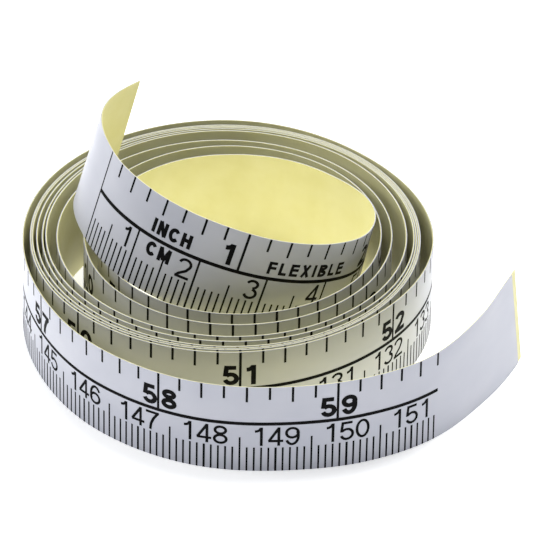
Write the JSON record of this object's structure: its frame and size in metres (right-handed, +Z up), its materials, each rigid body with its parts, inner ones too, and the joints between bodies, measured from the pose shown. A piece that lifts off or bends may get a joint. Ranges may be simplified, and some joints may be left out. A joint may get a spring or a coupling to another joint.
{
  "type": "adhesive tape measure",
  "caption": "Flexible self-adhesive measuring tape, white printed film on a yellow liner, loosely coiled on edge with both ends free.",
  "frame": {"origin": "under the middle of the coiled tape's box, on the surface that its lower edge rests on", "axes": "+Z up along the coil's axis, +X towards the free outer end, -Y towards the front where the scale reads upright"},
  "size_m": [0.0718, 0.0674, 0.0299],
  "materials": {
    "film": "satin white polyester film",
    "liner": "pale yellow release paper",
    "ink": "black printing ink"
  },
  "bodies": {
    "coil": {"coil_film": "film", "coil_liner": "liner"},
    "outer_end_1": {"outer_end_1_film": "film", "outer_end_1_liner": "liner"},
    "outer_end_2": {"outer_end_2_film": "film", "outer_end_2_liner": "liner"},
    "outer_end_3": {"outer_end_3_film": "film", "outer_end_3_liner": "liner"},
    "outer_end_4": {"outer_end_4_film": "film", "outer_end_4_liner": "liner"},
    "outer_end_5": {"outer_end_5_film": "film", "outer_end_5_liner": "liner"},
    "outer_end_6": {"outer_end_6_film": "film", "outer_end_6_liner": "liner"},
    "outer_end_7": {"outer_end_7_film": "film", "outer_end_7_liner": "liner"},
    "outer_end_8": {"outer_end_8_film": "film", "outer_end_8_liner": "liner"},
    "zero_end_1": {"zero_end_1_film": "film", "zero_end_1_liner": "liner"},
    "zero_end_2": {"zero_end_2_film": "film", "zero_end_2_liner": "liner"},
    "zero_end_3": {"zero_end_3_film": "film", "zero_end_3_liner": "liner"}
  },
  "joints": [
    {"name": "outer_end_bend_1", "type": "hinge", "parent": "coil", "child": "outer_end_1", "pos_m": [-0.03519, -0.00345, 0.00001], "axis": [0, 0, -1], "range_deg": [-1.5, 20], "stiffness_Nm_per_rad": 0.0005},
    {"name": "outer_end_bend_2", "type": "hinge", "parent": "outer_end_1", "child": "outer_end_2", "pos_m": [-0.03114, -0.01523, 0.00001], "axis": [0, 0, -1], "range_deg": [-1.5, 20], "stiffness_Nm_per_rad": 0.0005},
    {"name": "outer_end_bend_3", "type": "hinge", "parent": "outer_end_2", "child": "outer_end_3", "pos_m": [-0.02365, -0.02515, 0.00001], "axis": [0, 0, -1], "range_deg": [-1.5, 20], "stiffness_Nm_per_rad": 0.0005},
    {"name": "outer_end_bend_4", "type": "hinge", "parent": "outer_end_3", "child": "outer_end_4", "pos_m": [-0.01306, -0.03166, 0.00001], "axis": [0, 0, -1], "range_deg": [-1.5, 20], "stiffness_Nm_per_rad": 0.0005},
    {"name": "outer_end_bend_5", "type": "hinge", "parent": "outer_end_4", "child": "outer_end_5", "pos_m": [-0.00079, -0.03357, 0.00001], "axis": [0, 0.0012, -1], "range_deg": [-1.5, 20], "stiffness_Nm_per_rad": 0.0005},
    {"name": "outer_end_bend_6", "type": "hinge", "parent": "outer_end_5", "child": "outer_end_6", "pos_m": [0.0115, -0.03163, 0.00001], "axis": [-0.0004, -0.0115, -0.9999], "range_deg": [-1.5, 20], "stiffness_Nm_per_rad": 0.0005},
    {"name": "outer_end_bend_7", "type": "hinge", "parent": "outer_end_6", "child": "outer_end_7", "pos_m": [0.02243, -0.02571, 0.00001], "axis": [0.0068, -0.0222, -0.9997], "range_deg": [-1.5, 20], "stiffness_Nm_per_rad": 0.0005},
    {"name": "outer_end_bend_8", "type": "hinge", "parent": "outer_end_7", "child": "outer_end_8", "pos_m": [0.03009, -0.0165, 0.00001], "axis": [0.0275, -0.1231, -0.992], "range_deg": [-1.5, 20], "stiffness_Nm_per_rad": 0.0005},
    {"name": "zero_end_bend_1", "type": "hinge", "parent": "coil", "child": "zero_end_1", "pos_m": [-0.00676, -0.01301, 0.01081], "axis": [-0.2897, -0.1296, -0.9483], "range_deg": [0, 4], "stiffness_Nm_per_rad": 0.0005},
    {"name": "zero_end_bend_2", "type": "hinge", "parent": "zero_end_1", "child": "zero_end_2", "pos_m": [-0.02249, -0.00694, 0.01483], "axis": [0.2932, 0.1735, 0.9402], "range_deg": [0, 12], "stiffness_Nm_per_rad": 0.0005},
    {"name": "zero_end_bend_3", "type": "hinge", "parent": "zero_end_2", "child": "zero_end_3", "pos_m": [-0.02855, 0.00949, 0.01631], "axis": [0.2726, 0.153, 0.9499], "range_deg": [0, 12], "stiffness_Nm_per_rad": 0.0005}
  ],
  "couplings": [
    {"joint": "outer_end_bend_2", "follows": "outer_end_bend_1", "ratio": 1},
    {"joint": "outer_end_bend_3", "follows": "outer_end_bend_1", "ratio": 1},
    {"joint": "outer_end_bend_4", "follows": "outer_end_bend_1", "ratio": 1},
    {"joint": "outer_end_bend_5", "follows": "outer_end_bend_1", "ratio": 1},
    {"joint": "outer_end_bend_6", "follows": "outer_end_bend_1", "ratio": 1},
    {"joint": "outer_end_bend_7", "follows": "outer_end_bend_1", "ratio": 1},
    {"joint": "outer_end_bend_8", "follows": "outer_end_bend_1", "ratio": 1},
    {"joint": "zero_end_bend_2", "follows": "zero_end_bend_1", "ratio": 3},
    {"joint": "zero_end_bend_3", "follows": "zero_end_bend_1", "ratio": 3}
  ]
}
